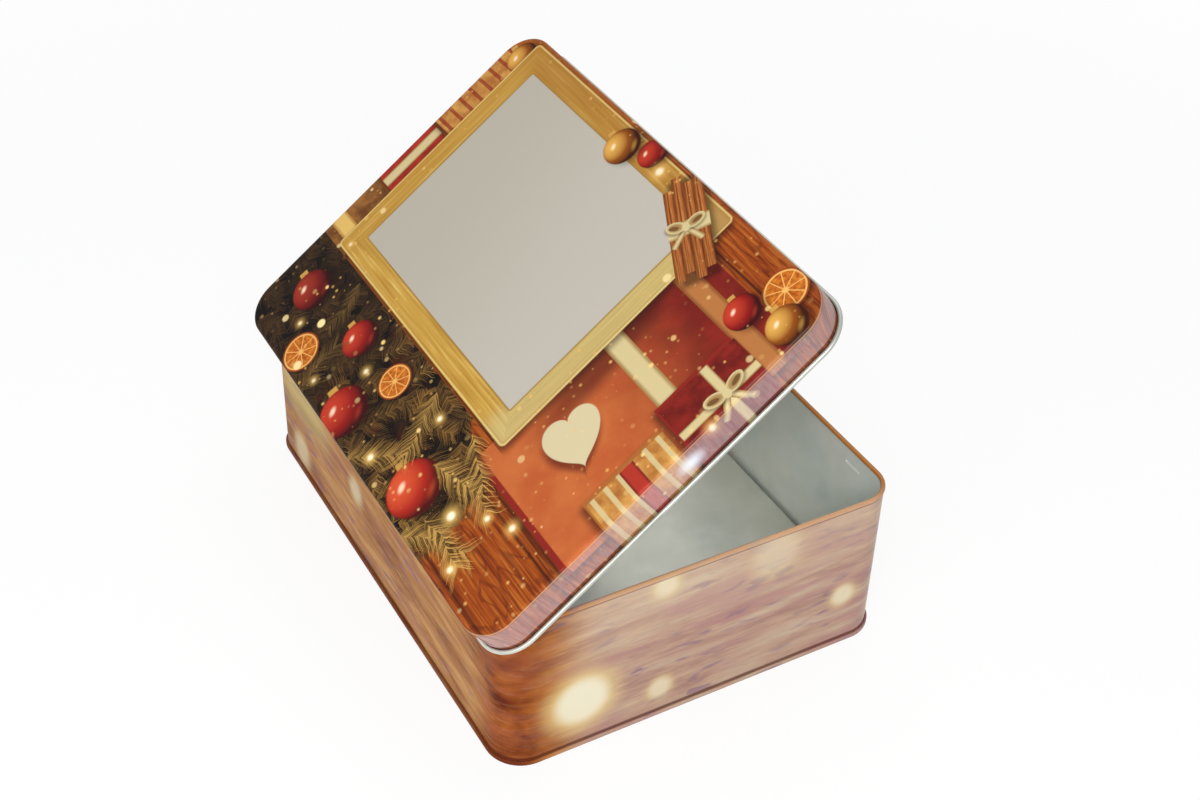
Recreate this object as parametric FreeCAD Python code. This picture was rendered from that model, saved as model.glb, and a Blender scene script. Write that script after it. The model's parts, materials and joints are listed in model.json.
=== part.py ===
"""Rectangular gift tin of printed tinplate, with a lid hinged along one long side and standing part open.

Millimetres.  The tin is drawn about its own middle, standing on z = 0 with its long sides along Y.  The
lid hangs on the long side that faces -X.  At the end everything shifts along X, so that the origin is at
the middle of the underside of the whole, with the lid as it stands.
"""
import FreeCAD, Part
import math
import os

from FreeCAD import Vector

# The sheet and the body
SHEET = 0.25                # tinplate
BODY_X = 200.0              # over the walls
BODY_Y = 268.0
BODY_HEIGHT = 85.0          # from the base to the top of the rim
CORNER = 16.0               # outer radius of the upright corners

# The rim: the wall steps out a little and curls inwards, printed side out
RIM_CURL = 2.3              # outer diameter
RIM_PROUD = 0.45            # how far the curl stands out of the wall
RIM_TURN = 275.0            # degrees of curl

# The seam at the base: the wall steps out round the bottom panel's edge and folds in under it
SEAM_PROUD = 1.2
SEAM_HEIGHT = 2.4
SEAM_FOLD = 2.4             # how far the fold reaches in past the wall's outer face
TIGHT_BEND = 0.4            # radius of the seam's bends, on the sheet's middle

# The bottom panel, raised inside the wall
FLOOR_HEIGHT = 11.0         # its upper face
FLOOR_ROUND = 2.0           # outer radius of its down-turned edge
CREVICE = 1.3               # gap between that edge and the wall
FLANGE_REACH = 0.5          # how far its flange reaches out past the wall's outer face

# Two pressed dimples that grip the closed lid's skirt
DIMPLE_LENGTH = 12.5
DIMPLE_HEIGHT = 2.2
DIMPLE_PROUD = 0.8
DIMPLE_BELOW_RIM = 11.0
DIMPLE_FROM_MIDDLE = 100.0

# The lid
LID_GAP = 1.7               # from the wall's outer face to the skirt's outer face
LID_REST_GAP = 0.3          # from the rim's top to the lid's underside, closed
LID_ROUND = 2.5             # outer radius of the top's edge
LID_DEPTH = 18.5            # from the top to the bottom of the skirt's curl
LID_CURL = 2.2              # outer diameter of the skirt's outward curl, bare side out
LID_CURL_TURN = 305.0
LID_STANDS_OPEN = 37.5      # degrees

# The hinge: a wire in the curl of the lid's skirt, held by two rolled leaves on the wall
WIRE_PLAY = 0.07            # radial clearance in the lid's curl
WIRE_LENGTH = 34.0
HINGE_FROM_MIDDLE = 78.0
LEAF_SHEET = 0.35
LEAF_WIDTH = 30.0
LEAF_HEIGHT = 6.0
LEAF_BOTTOM = 57.5
KNUCKLE_WIDTH = 13.0
KNUCKLE_PLAY = 0.35         # between the knuckle and the notch in the lid
KNUCKLE_TURN = 300.0
LEAF_BEND = 1.2             # radius of the bends that bring the leaf out to the knuckle

# Sizes that follow from them
HALF_X = BODY_X / 2
HALF_Y = BODY_Y / 2
MIDDLE = SHEET / 2
LID_X = HALF_X + LID_GAP
LID_Y = HALF_Y + LID_GAP
LID_CORNER = CORNER + LID_GAP
LID_TOP = BODY_HEIGHT + LID_REST_GAP + SHEET
LID_CURL_RADIUS = LID_CURL / 2
WIRE_RADIUS = LID_CURL_RADIUS - SHEET - WIRE_PLAY
PIN_X = LID_X - SHEET + LID_CURL_RADIUS     # from the tin's middle to the hinge line
PIN_Z = LID_TOP - LID_DEPTH + LID_CURL_RADIUS
UP = Vector(0, 0, 1)
ORIGIN = Vector(0, 0, 0)


def folded_sheet(start, heading, folds, thickness):
    """Section of a folded sheet, as a face in the XZ plane.

    The sheet's middle line leaves start at heading degrees above +X.  Each fold is (length,) for a straight
    run or (radius, turn) for a bend, where a positive turn is towards the left.
    """
    x, z = start
    angle = math.radians(heading)
    sides = {thickness / 2: [], -thickness / 2: []}
    ends = {offset: [] for offset in sides}

    def beside(offset):
        return Vector(x - offset * math.sin(angle), 0, z + offset * math.cos(angle))

    for offset in sides:
        ends[offset].append(beside(offset))
    for fold in folds:
        if len(fold) == 1:
            before = {offset: beside(offset) for offset in sides}
            x += fold[0] * math.cos(angle)
            z += fold[0] * math.sin(angle)
            for offset, edges in sides.items():
                edges.append(Part.LineSegment(before[offset], beside(offset)).toShape())
        else:
            radius = math.copysign(fold[0], fold[1])
            turn = math.radians(fold[1])
            centre_x = x - radius * math.sin(angle)
            centre_z = z + radius * math.cos(angle)
            for offset, edges in sides.items():
                reach = radius - offset
                points = [Vector(centre_x + reach * math.sin(a), 0, centre_z - reach * math.cos(a))
                          for a in (angle, angle + turn / 2, angle + turn)]
                edges.append(Part.Arc(*points).toShape())
            angle += turn
            x = centre_x + radius * math.sin(angle)
            z = centre_z - radius * math.cos(angle)
    for offset in sides:
        ends[offset].append(beside(offset))
    caps = [Part.LineSegment(*pair).toShape() for pair in zip(*ends.values())]
    edges = [edge for side in sides.values() for edge in side] + caps
    return Part.Face(Part.Wire(Part.__sortEdges__(edges)))


def step_out(shift, radius):
    """Two bends that move a sheet to the right of its heading by shift, and the length they take."""
    turn = math.acos(1 - shift / (2 * radius))
    degrees = math.degrees(turn)
    return [(radius, -degrees), (radius, degrees)], 2 * radius * math.sin(turn)


def all_round(section, half_x, half_y, corner):
    """Carry a section once round a rounded rectangle; its x = 0 runs along the rectangle's edge."""
    stretches = []
    for side in range(4):
        distance, half_run = (half_x, half_y - corner) if side % 2 == 0 else (half_y, half_x - corner)
        start = section.copy()
        start.translate(Vector(distance, -half_run, 0))
        straight = start.extrude(Vector(0, 2 * half_run, 0))
        start.translate(Vector(0, 2 * half_run, 0))
        bend = start.revolve(Vector(distance - corner, half_run, 0), UP, 90)
        for piece in (straight, bend):
            piece.rotate(ORIGIN, UP, 90 * side)
            stretches.append(piece)
    return stretches[0].multiFuse(stretches[1:])


def rounded_plate(half_x, half_y, corner, low, thickness):
    """Flat plate with rounded corners, standing on z = low."""
    plate = Part.makeBox(2 * half_x, 2 * half_y, thickness, Vector(-half_x, -half_y, low))
    upright = [edge for edge in plate.Edges if abs(edge.tangentAt(edge.FirstParameter).z) > 0.9]
    return plate.makeFillet(corner, upright)


def capsule(radius, length, centre):
    """Round-ended bar along Y."""
    half = length / 2 - radius
    ends = [centre + Vector(0, side * half, 0) for side in (-1, 1)]
    bar = Part.makeCylinder(radius, 2 * half, ends[0], Vector(0, 1, 0))
    return bar.multiFuse([Part.makeSphere(radius, end) for end in ends])


def body_wall():
    """The printed wall, from the fold under the base to the curled rim, with its two dimples."""
    rim_radius = RIM_CURL / 2
    jog, jog_height = step_out(RIM_PROUD, TIGHT_BEND * 2)
    rim_middle = BODY_HEIGHT - rim_radius
    ledge = SEAM_HEIGHT - MIDDLE
    folds = [(SEAM_FOLD + SEAM_PROUD - MIDDLE - TIGHT_BEND,), (TIGHT_BEND, 90),
             (ledge - MIDDLE - 2 * TIGHT_BEND,), (TIGHT_BEND, 90),
             (SEAM_PROUD - 2 * TIGHT_BEND,), (TIGHT_BEND, -90),
             (rim_middle - jog_height - ledge - TIGHT_BEND,)]
    folds += jog + [(rim_radius - MIDDLE, RIM_TURN)]
    section = folded_sheet((-SEAM_FOLD, MIDDLE), 0, folds, SHEET)
    wall = all_round(section, HALF_X, HALF_Y, CORNER)

    half_height = DIMPLE_HEIGHT / 2
    radius = (half_height ** 2 + DIMPLE_PROUD ** 2) / (2 * DIMPLE_PROUD)
    for side in (-1, 1):
        centre = Vector(HALF_X + DIMPLE_PROUD - radius, side * DIMPLE_FROM_MIDDLE, BODY_HEIGHT - DIMPLE_BELOW_RIM)
        outside = capsule(radius, DIMPLE_LENGTH, centre)
        clear_of_inside = Part.makeBox(10, 30, 10, Vector(HALF_X - SHEET, centre.y - 15, centre.z - 5))
        wall = wall.fuse(outside.common(clear_of_inside))
        wall = wall.cut(capsule(radius - SHEET, DIMPLE_LENGTH - 2 * SHEET, centre))
    return wall.removeSplitter()


def bottom_panel():
    """The raised floor, its rounded edge and the flange that the wall's fold holds."""
    upright = -SHEET - CREVICE
    bend = FLOOR_ROUND - MIDDLE
    low = SHEET + MIDDLE
    run = FLOOR_HEIGHT - FLOOR_ROUND - TIGHT_BEND - low
    folds = [(bend, -90), (run,), (TIGHT_BEND, 90), (FLANGE_REACH - upright + MIDDLE - TIGHT_BEND,)]
    section = folded_sheet((upright - FLOOR_ROUND, FLOOR_HEIGHT - MIDDLE), 0, folds, SHEET)
    edge = all_round(section, HALF_X, HALF_Y, CORNER)
    inset = FLOOR_ROUND - upright
    plate = rounded_plate(HALF_X - inset, HALF_Y - inset, CORNER - inset, FLOOR_HEIGHT - SHEET, SHEET)
    return edge.fuse(plate).removeSplitter()


def lid():
    """The printed lid, closed: a flat top, a rounded edge, a skirt with an outward curl and two hinge notches."""
    curl = LID_CURL_RADIUS - MIDDLE
    folds = [(LID_ROUND - MIDDLE, -90), (LID_DEPTH - LID_ROUND - LID_CURL_RADIUS,), (curl, LID_CURL_TURN)]
    section = folded_sheet((-LID_ROUND, LID_TOP - MIDDLE), 0, folds, SHEET)
    skirt = all_round(section, LID_X, LID_Y, LID_CORNER)
    plate = rounded_plate(LID_X - LID_ROUND, LID_Y - LID_ROUND, LID_CORNER - LID_ROUND, LID_TOP - SHEET, SHEET)
    cover = skirt.fuse(plate)
    notch = LID_CURL_RADIUS + KNUCKLE_PLAY
    width = KNUCKLE_WIDTH + 2 * KNUCKLE_PLAY
    for side in (-1, 1):
        low = Vector(-PIN_X, side * HINGE_FROM_MIDDLE - width / 2, PIN_Z)
        cover = cover.cut(Part.makeCylinder(notch, width, low, Vector(0, 1, 0)))
    return cover.removeSplitter()


def hinge_leaf(side):
    """A small leaf on the wall whose tab is rolled round the wire."""
    middle = LEAF_SHEET / 2
    knuckle = WIRE_RADIUS + middle
    jog, jog_height = step_out(PIN_X - HALF_X - knuckle - middle, LEAF_BEND)
    leaf_top = LEAF_BOTTOM + LEAF_HEIGHT
    folds = [(LEAF_HEIGHT,)] + jog + [(PIN_Z - leaf_top - jog_height,), (knuckle, -KNUCKLE_TURN)]
    tab = folded_sheet((HALF_X + middle, LEAF_BOTTOM), 90, folds, LEAF_SHEET).extrude(Vector(0, KNUCKLE_WIDTH, 0))
    tab.translate(Vector(0, -KNUCKLE_WIDTH / 2, 0))
    plate = Part.makeBox(LEAF_SHEET, LEAF_WIDTH, LEAF_HEIGHT, Vector(HALF_X, -LEAF_WIDTH / 2, LEAF_BOTTOM))
    rounded = [edge for edge in plate.Edges if abs(edge.tangentAt(edge.FirstParameter).x) > 0.9]
    leaf = tab.fuse(plate.makeFillet(LEAF_HEIGHT / 4, rounded)).removeSplitter()
    leaf.rotate(ORIGIN, UP, 180)
    leaf.translate(Vector(0, side * HINGE_FROM_MIDDLE, 0))
    return leaf


def hinge_wire(side):
    low = Vector(-PIN_X, side * HINGE_FROM_MIDDLE - WIRE_LENGTH / 2, PIN_Z)
    return Part.makeCylinder(WIRE_RADIUS, WIRE_LENGTH, low, Vector(0, 1, 0))


def middle_of_whole():
    """X of the middle between the open lid's left-hand edge and the seam on the right."""
    angle = math.radians(LID_STANDS_OPEN)
    across = PIN_X - LID_X + LID_ROUND
    above = LID_TOP - LID_ROUND - PIN_Z
    left = -PIN_X + across * math.cos(angle) - above * math.sin(angle) - LID_ROUND
    return (left + HALF_X + SEAM_PROUD) / 2


cover = lid()
cover.rotate(Vector(-PIN_X, 0, PIN_Z), Vector(0, -1, 0), LID_STANDS_OPEN)
nodes = {"body_wall": body_wall(), "bottom_panel": bottom_panel(), "lid": cover}
for place, side in (("front", -1), ("back", 1)):
    nodes["hinge_leaf_" + place] = hinge_leaf(side)
    nodes["hinge_wire_" + place] = hinge_wire(side)

os.makedirs("parts", exist_ok=True)
for name, shape in nodes.items():
    solid = shape.Solids[0]
    solid.translate(Vector(-middle_of_whole(), 0, 0))
    print(name, len(shape.Solids), "solid", solid.isValid(), "volume", round(solid.Volume, 1))
    solid.exportStep("parts/" + name + ".step")
print("hinge line at x", round(-PIN_X - middle_of_whole(), 4), "z", round(PIN_Z, 4))
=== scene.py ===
from contextlib import contextmanager
import json
import math

import bmesh
import bpy
from mathutils import Matrix, Vector


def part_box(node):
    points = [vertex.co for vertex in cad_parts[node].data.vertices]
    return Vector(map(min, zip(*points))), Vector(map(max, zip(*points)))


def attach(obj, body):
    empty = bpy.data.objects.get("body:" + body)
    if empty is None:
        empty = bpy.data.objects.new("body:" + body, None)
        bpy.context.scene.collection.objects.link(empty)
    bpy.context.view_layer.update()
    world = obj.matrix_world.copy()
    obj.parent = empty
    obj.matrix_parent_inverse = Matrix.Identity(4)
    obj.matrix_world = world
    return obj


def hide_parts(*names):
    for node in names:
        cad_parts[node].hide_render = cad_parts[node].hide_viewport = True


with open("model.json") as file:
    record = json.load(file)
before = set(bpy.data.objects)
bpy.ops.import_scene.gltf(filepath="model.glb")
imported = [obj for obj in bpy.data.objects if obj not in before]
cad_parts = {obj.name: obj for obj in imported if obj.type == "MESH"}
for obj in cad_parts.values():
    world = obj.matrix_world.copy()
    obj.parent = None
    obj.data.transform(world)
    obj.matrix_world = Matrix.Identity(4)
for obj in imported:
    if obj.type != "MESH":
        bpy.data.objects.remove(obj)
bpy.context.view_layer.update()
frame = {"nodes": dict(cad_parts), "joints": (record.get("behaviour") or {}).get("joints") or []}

MM = 0.001


# The body wall.  One strip of thin tinplate is printed on its outer side and bent round to a box with
# rounded corners.  Its upper edge steps out and curls inwards, and its lower edge steps out round the
# bottom panel and folds in under it.  Two small dimples are pressed out of it to grip the closed lid.

SHEET = 0.25 * MM
CORNER = 16 * MM
RIM_CURL = 2.3 * MM
RIM_PROUD = 0.45 * MM
SEAM_PROUD = 1.2 * MM
SEAM_HEIGHT = 2.4 * MM
SEAM_FOLD = 2.4 * MM
TIGHT_BEND = 0.4 * MM
BEND_STEP = 11
CORNER_STEPS = 18
FINE_STEPS = 40
MERGE_DISTANCE = 0.002 * MM
SHARP_ANGLE = 35

wall_low, wall_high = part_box("body_wall")
CENTRE_X = (wall_low.x + wall_high.x) / 2
HALF_X = (wall_high.x - wall_low.x) / 2 - SEAM_PROUD
HALF_Y = (wall_high.y - wall_low.y) / 2 - SEAM_PROUD
BODY_HEIGHT = wall_high.z


class Flow:
    """A socket of a node tree.  Sums written with it add Math nodes, and node() adds any other node."""

    def __init__(self, tree, socket=None):
        self.tree = tree
        self.socket = socket

    def node(self, kind, settings=None, sockets=None):
        """Add a node: settings first, then values or links, as a list in order or by socket name."""
        made = self.tree.nodes.new(kind)
        for name, value in (settings or {}).items():
            if name == "stops":
                elements = made.color_ramp.elements
                while len(elements) < len(value):
                    elements.new(1)
                for element, (place, colour) in zip(elements, value):
                    element.position, element.color = place, colour
            else:
                setattr(made, name, value)
        usable = [socket for socket in made.inputs if socket.enabled]
        if isinstance(sockets, dict):
            pairs = [(next(s for s in usable if s.name == name), value) for name, value in sockets.items()]
        else:
            pairs = list(zip(usable, sockets or ()))
        for socket, value in pairs:
            if isinstance(value, Flow):
                self.tree.links.new(value.socket, socket)
            else:
                socket.default_value = value
        outputs = [socket for socket in made.outputs if socket.enabled]
        return Flow(self.tree, outputs[0] if outputs else None)

    def out(self, name):
        """Another output of the same node."""
        return Flow(self.tree, next(s for s in self.socket.node.outputs if s.name == name and s.enabled))

    def maths(self, operation, *others):
        return self.node("ShaderNodeMath", {"operation": operation}, [self, *others])

    def __add__(self, other): return self.maths("ADD", other)
    def __radd__(self, other): return self.maths("ADD", other)
    def __sub__(self, other): return self.maths("SUBTRACT", other)
    def __rsub__(self, other): return self.node("ShaderNodeMath", {"operation": "SUBTRACT"}, [other, self])
    def __mul__(self, other): return self.maths("MULTIPLY", other)
    def __rmul__(self, other): return self.maths("MULTIPLY", other)
    def __truediv__(self, other): return self.maths("DIVIDE", other)
    def __abs__(self): return self.maths("ABSOLUTE")
    def __lt__(self, other): return self.maths("LESS_THAN", other)
    def __gt__(self, other): return self.maths("GREATER_THAN", other)


def folded(start, heading, folds, sheet, printed_left):
    """Points (out, up, way along the sheet, printed) once round a folded sheet's section, printed side first.

    The folds are those of part.py: (length, pieces) for a straight run, (radius, turn) for a bend.
    """
    out, up = start
    angle = math.radians(heading)
    way = 0.0
    middle = [(out, up, angle, way)]
    for first, second, is_bend in folds:
        if is_bend:
            radius = math.copysign(first, second)
            steps = max(2, round(abs(second) / BEND_STEP))
            centre = (out - radius * math.sin(angle), up + radius * math.cos(angle))
            for _ in range(steps):
                angle += math.radians(second) / steps
                way += abs(radius * math.radians(second)) / steps
                out = centre[0] + radius * math.sin(angle)
                up = centre[1] - radius * math.cos(angle)
                middle.append((out, up, angle, way))
        else:
            for _ in range(second):
                out += first / second * math.cos(angle)
                up += first / second * math.sin(angle)
                way += first / second
                middle.append((out, up, angle, way))
    points = []
    for offset, printed, run in ((sheet / 2, 1.0, middle), (-sheet / 2, 0.0, middle[::-1])):
        side = offset if printed_left else -offset
        points += [(o - side * math.sin(a), u + side * math.cos(a), w, printed) for o, u, a, w in run]
    return points


def straight(length, pieces=1):
    return (length, pieces, False)


def bend(radius, turn):
    return (radius, turn, True)


def step_out(shift, radius):
    """Two bends that move a sheet to the right of its heading, and the length that they take."""
    turn = math.acos(1 - shift / (2 * radius))
    degrees = math.degrees(turn)
    return [bend(radius, -degrees), bend(radius, degrees)], 2 * radius * math.sin(turn)


def round_path(half_x, half_y, corner, spacing, fine=()):
    """Points (x, y, run) once round a rounded rectangle, from the middle of the back and back to it.

    fine lists (from, to) stretches of the right-hand side, in y, that get FINE_STEPS points each.
    """
    points = []

    def walk(start, end, cuts=()):
        steps = max(1, round(math.dist(start, end) / spacing))
        shares = {k / steps for k in range(steps)} | set(cuts)
        for share in sorted(shares):
            points.append(tuple(a + (b - a) * share for a, b in zip(start, end)))

    def turn(centre_x, centre_y, from_degrees):
        for k in range(CORNER_STEPS):
            a = math.radians(from_degrees + 90 * k / CORNER_STEPS)
            points.append((centre_x + corner * math.cos(a), centre_y + corner * math.sin(a)))

    inner_x, inner_y = half_x - corner, half_y - corner
    cuts = [(y + inner_y) / (2 * inner_y) for low, high in fine
            for y in (low + (high - low) * k / FINE_STEPS for k in range(FINE_STEPS + 1))]
    walk((0, half_y), (-inner_x, half_y))
    turn(-inner_x, inner_y, 90)
    walk((-half_x, inner_y), (-half_x, -inner_y))
    turn(-inner_x, -inner_y, 180)
    walk((-inner_x, -half_y), (inner_x, -half_y))
    turn(inner_x, -inner_y, 270)
    walk((half_x, -inner_y), (half_x, inner_y), cuts)
    turn(inner_x, inner_y, 0)
    walk((inner_x, half_y), (0, half_y))
    points.append((0, half_y))
    run = 0.0
    measured = [(*points[0], run)]
    for before, point in zip(points, points[1:]):
        run += math.dist(before, point)
        measured.append((*point, run))
    return measured


def placed(name, data):
    """A new object in the scene."""
    made = bpy.data.objects.new(name, data)
    bpy.context.scene.collection.objects.link(made)
    return made


@contextmanager
def edited(mesh):
    """The mesh open for edits, which are kept at the end."""
    work = bmesh.new()
    work.from_mesh(mesh)
    yield work
    work.to_mesh(mesh)
    work.free()


def line_object(name, places, closed, **attributes):
    """A row of joined points as a mesh of edges, with a number or a vector for each point."""
    mesh = bpy.data.meshes.new(name)
    count = len(places)
    mesh.from_pydata(places, [(k, (k + 1) % count) for k in range(count if closed else count - 1)], [])
    for key, values in attributes.items():
        kind = "FLOAT_VECTOR" if hasattr(values[0], "__len__") else "FLOAT"
        layer = mesh.attributes.new(key, kind, "POINT")
        for k, value in enumerate(values):
            setattr(layer.data[k], "vector" if kind == "FLOAT_VECTOR" else "value", value)
    return placed(name, mesh)


def new_tree(name, inputs):
    """A Geometry Nodes tree with named inputs, its starting Flow and a Flow for each input."""
    tree = bpy.data.node_groups.new(name, "GeometryNodeTree")
    for label, kind in inputs.items():
        tree.interface.new_socket(label, in_out="INPUT", socket_type="NodeSocket" + kind)
    tree.interface.new_socket("Geometry", in_out="OUTPUT", socket_type="NodeSocketGeometry")
    start = Flow(tree)
    given = start.node("NodeGroupInput")
    return tree, start, {label: given.out(label) for label in inputs}


def carry_round_tree():
    """Carries a section of sheet once round a path, lays its print place on it and gives each side its finish."""
    tree, start, given = new_tree("carry_round", {
        "Path": "Object", "Section": "Object", "Printed finish": "Material", "Bare finish": "Material",
        "Dimple reach": "Float", "Dimple depth": "Float", "Dimple at x": "Float", "Dimple at y": "Float",
        "Dimple at z": "Float", "Dimple half length": "Float"})
    path, section = (start.node("GeometryNodeObjectInfo", {}, [given[name]]) for name in ("Path", "Section"))
    path, section = (start.node("GeometryNodeMeshToCurve", {}, [line.out("Geometry")]) for line in (path, section))
    path = start.node("GeometryNodeSetCurveNormal", {"mode": "Z_UP"}, [path])
    shell = start.node("GeometryNodeCurveToMesh", {}, {"Curve": path, "Profile Curve": section})

    def named(name, kind="FLOAT"):
        return start.node("GeometryNodeInputNamedAttribute", {"data_type": kind}, {"Name": name})

    reach = start.node("ShaderNodeVectorMath", {"operation": "SCALE"},
                       {"Vector": named("outward", "FLOAT_VECTOR"), "Scale": named("way")})
    place = start.node("ShaderNodeVectorMath", {"operation": "ADD"}, [named("spot", "FLOAT_VECTOR"), reach])
    shell = start.node("GeometryNodeStoreNamedAttribute", {"data_type": "FLOAT2", "domain": "CORNER"},
                       {"Geometry": shell, "Name": "print", "Value": place})
    at = start.node("GeometryNodeInputPosition")
    parts = start.node("ShaderNodeSeparateXYZ", {}, [at])
    x, y, z = parts.out("X"), parts.out("Y"), parts.out("Z")
    along = (abs(abs(y) - given["Dimple at y"]) - given["Dimple half length"]).maths("MAXIMUM", 0)
    away = start.node("ShaderNodeVectorMath", {"operation": "LENGTH"},
                      [start.node("ShaderNodeCombineXYZ", {}, [along, z - given["Dimple at z"], 0])]).out("Value")
    rise = start.node("ShaderNodeMapRange", {"interpolation_type": "SMOOTHERSTEP"},
                      {"Value": away, "From Min": given["Dimple reach"], "From Max": 0.0, "To Min": 0.0,
                       "To Max": given["Dimple depth"]})
    push = start.node("ShaderNodeCombineXYZ", {}, [rise * (x > given["Dimple at x"]), 0, 0])
    shell = start.node("GeometryNodeSetPosition", {}, {"Geometry": shell, "Offset": push})
    shell = start.node("GeometryNodeMergeByDistance", {}, {"Geometry": shell, "Distance": MERGE_DISTANCE})
    shell = start.node("GeometryNodeRealizeInstances", {}, [shell])
    printed = named("printed") > 0.6
    shell = start.node("GeometryNodeSetMaterial", {}, {"Geometry": shell, "Material": given["Bare finish"]})
    shell = start.node("GeometryNodeSetMaterial", {}, {"Geometry": shell, "Selection": printed,
                                                       "Material": given["Printed finish"]})
    start.node("NodeGroupOutput", {}, [shell])
    return tree


def shell_round(name, tree, path, section, closed, print_place, **inputs):
    """Run the tree on a path and a section and keep the result as a plain mesh object."""
    outward = []
    for k in range(len(path)):
        before = path[k - 1] if k else path[-2]
        after = path[k + 1] if k + 1 < len(path) else path[1]
        way = Vector((after[0] - before[0], after[1] - before[1], 0)).normalized()
        outward.append((way.y, -way.x, 0))
    spots, reaches = zip(*(print_place(point, out) for point, out in zip(path, outward)))
    path_line = line_object(name + "_path", [(x, y, 0) for x, y, run in path], False, spot=spots, outward=reaches)
    section_line = line_object(name + "_section", [(out, -up, 0) for out, up, way, printed in section], closed,
                               way=[point[2] for point in section], printed=[point[3] for point in section])
    carrier = placed(name, bpy.data.meshes.new(name))
    modifier = carrier.modifiers.new("carry", "NODES")
    modifier.node_group = tree
    given = {"Path": path_line, "Section": section_line, **inputs}
    for item in tree.interface.items_tree:
        if item.in_out == "INPUT" and item.name in given:
            modifier[item.identifier] = given[item.name]
    graph = bpy.context.evaluated_depsgraph_get()
    mesh = bpy.data.meshes.new_from_object(carrier.evaluated_get(graph))
    for made in (carrier, path_line, section_line):
        bpy.data.objects.remove(made)
    mesh.name = name
    return placed(name, mesh)


def finish_mesh(piece, shift=(0, 0, 0)):
    """Put a shell in its place, point its faces outwards and shade its bends smoothly."""
    with edited(piece.data) as work:
        bmesh.ops.translate(work, verts=work.verts, vec=shift)
        if work.calc_volume(signed=True) < 0:
            bmesh.ops.reverse_faces(work, faces=work.faces)
    for polygon in piece.data.polygons:
        polygon.use_smooth = True
    piece.data.set_sharp_from_angle(angle=math.radians(SHARP_ANGLE))


def linear(tone):
    """A colour written as red, green and blue, 0 to 255, as a linear one; a Flow stays as it is."""
    if isinstance(tone, Flow):
        return tone
    parts = [value / 255 for value in tone]
    return tuple(p / 12.92 if p <= 0.04045 else ((p + 0.055) / 1.055) ** 2.4 for p in parts) + (1.0,)


def new_finish(name):
    """An empty material with its shader and output, and the Flow that starts its nodes."""
    material = bpy.data.materials.new(name)
    material.use_nodes = True
    shader = material.node_tree.nodes["Principled BSDF"]
    return material, shader, Flow(material.node_tree)


def blended(share, under, over):
    """Colour under with colour over laid on it by share."""
    flow = next(value for value in (share, under, over) if isinstance(value, Flow))
    return flow.node("ShaderNodeMix", {"data_type": "RGBA", "clamp_factor": True},
                     {"Factor": share, "A": linear(under), "B": linear(over)})


def drive(shader, looks):
    """Give each named socket of the shader its value or its link."""
    for name, value in looks.items():
        if isinstance(value, Flow):
            value.tree.links.new(value.socket, shader.inputs[name])
        else:
            shader.inputs[name].default_value = value


def rolled(flow, height, strength, distance):
    """The faint relief that a height gives the surface."""
    return flow.node("ShaderNodeBump", {}, {"Strength": strength, "Distance": distance, "Height": height})


def soft_step(value, low, high):
    """0 below low, 1 above high and a smooth rise between; low above high turns it round."""
    return value.node("ShaderNodeMapRange", {"interpolation_type": "SMOOTHSTEP"},
                      {"Value": value, "From Min": low, "From Max": high})


def cloud(flow, place, scale, detail=3.0, rough=0.5, warp=0.0):
    """Smooth noise, 0 to 1, with scale features for each unit of place."""
    return flow.node("ShaderNodeTexNoise", {"noise_dimensions": "3D"},
                     {"Vector": place, "Scale": scale, "Detail": detail, "Roughness": rough, "Distortion": warp})


def put(at, x, y, turn=0, wide=1.0, high=None):
    """A place (a, b) as seen from a spot at x, y, turned by some degrees, in units of wide and high."""
    a, b = at
    high = high or wide
    if turn == 0:
        return a.maths("MULTIPLY_ADD", 1 / wide, -x / wide), b.maths("MULTIPLY_ADD", 1 / high, -y / high)
    c, s = math.cos(math.radians(turn)), math.sin(math.radians(turn))
    return (a.maths("MULTIPLY_ADD", c / wide, b.maths("MULTIPLY_ADD", s / wide, -(x * c + y * s) / wide)),
            b.maths("MULTIPLY_ADD", c / high, a.maths("MULTIPLY_ADD", -s / high, (x * s - y * c) / high)))


def far(at):
    """How far a place is from its own middle."""
    return at[0].maths("MULTIPLY_ADD", at[0], at[1] * at[1]).maths("SQRT")


def below(value, edge, soft):
    """1 where the value is under edge and 0 over it, with a change as wide as soft."""
    return value.node("ShaderNodeMapRange", {"interpolation_type": "SMOOTHSTEP"},
                      {"Value": value, "From Min": edge + soft / 2, "From Max": edge - soft / 2})


def toned(value, *stops):
    """A colour that follows the value through the stops."""
    return value.node("ShaderNodeValToRGB", {"stops": [(place, linear(tone)) for place, tone in stops]}, [value])


def bare_tinplate(name, *tones):
    """Rolled tinplate under clear lacquer: a soft shine, cloudy, with faint lines along the rolling."""
    material, shader, flow = new_finish(name)
    place = flow.node("ShaderNodeTexCoord").out("Object")
    clouds = cloud(flow, place, 17, 3, 0.45, 0.3)
    mist = cloud(flow, place, 60, 3)
    rolling = cloud(flow, flow.node("ShaderNodeMapping", {}, {"Vector": place, "Scale": (900, 26, 900)}), 1, 2)
    tone = toned(clouds, *zip((0.36, 0.5, 0.64), tones))
    drive(shader, {"Base Color": blended(soft_step(mist, 0.4, 0.75) * 0.3, tone, (222, 224, 214)),
                   "Roughness": 0.28 + clouds * 0.12 + rolling * 0.06, "Metallic": 0.5,
                   "Normal": rolled(flow, clouds * 0.8 + rolling * 0.05, 0.12, 0.0003)})
    return material


def printed_at(flow):
    """The print's own place in millimetres, as a pair."""
    place = flow.node("ShaderNodeUVMap", {"uv_map": "print"})
    place = flow.node("ShaderNodeVectorMath", {"operation": "SCALE"}, {"Vector": place, "Scale": 1 / MM})
    parts = flow.node("ShaderNodeSeparateXYZ", {}, [place])
    return parts.out("X"), parts.out("Y")


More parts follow.
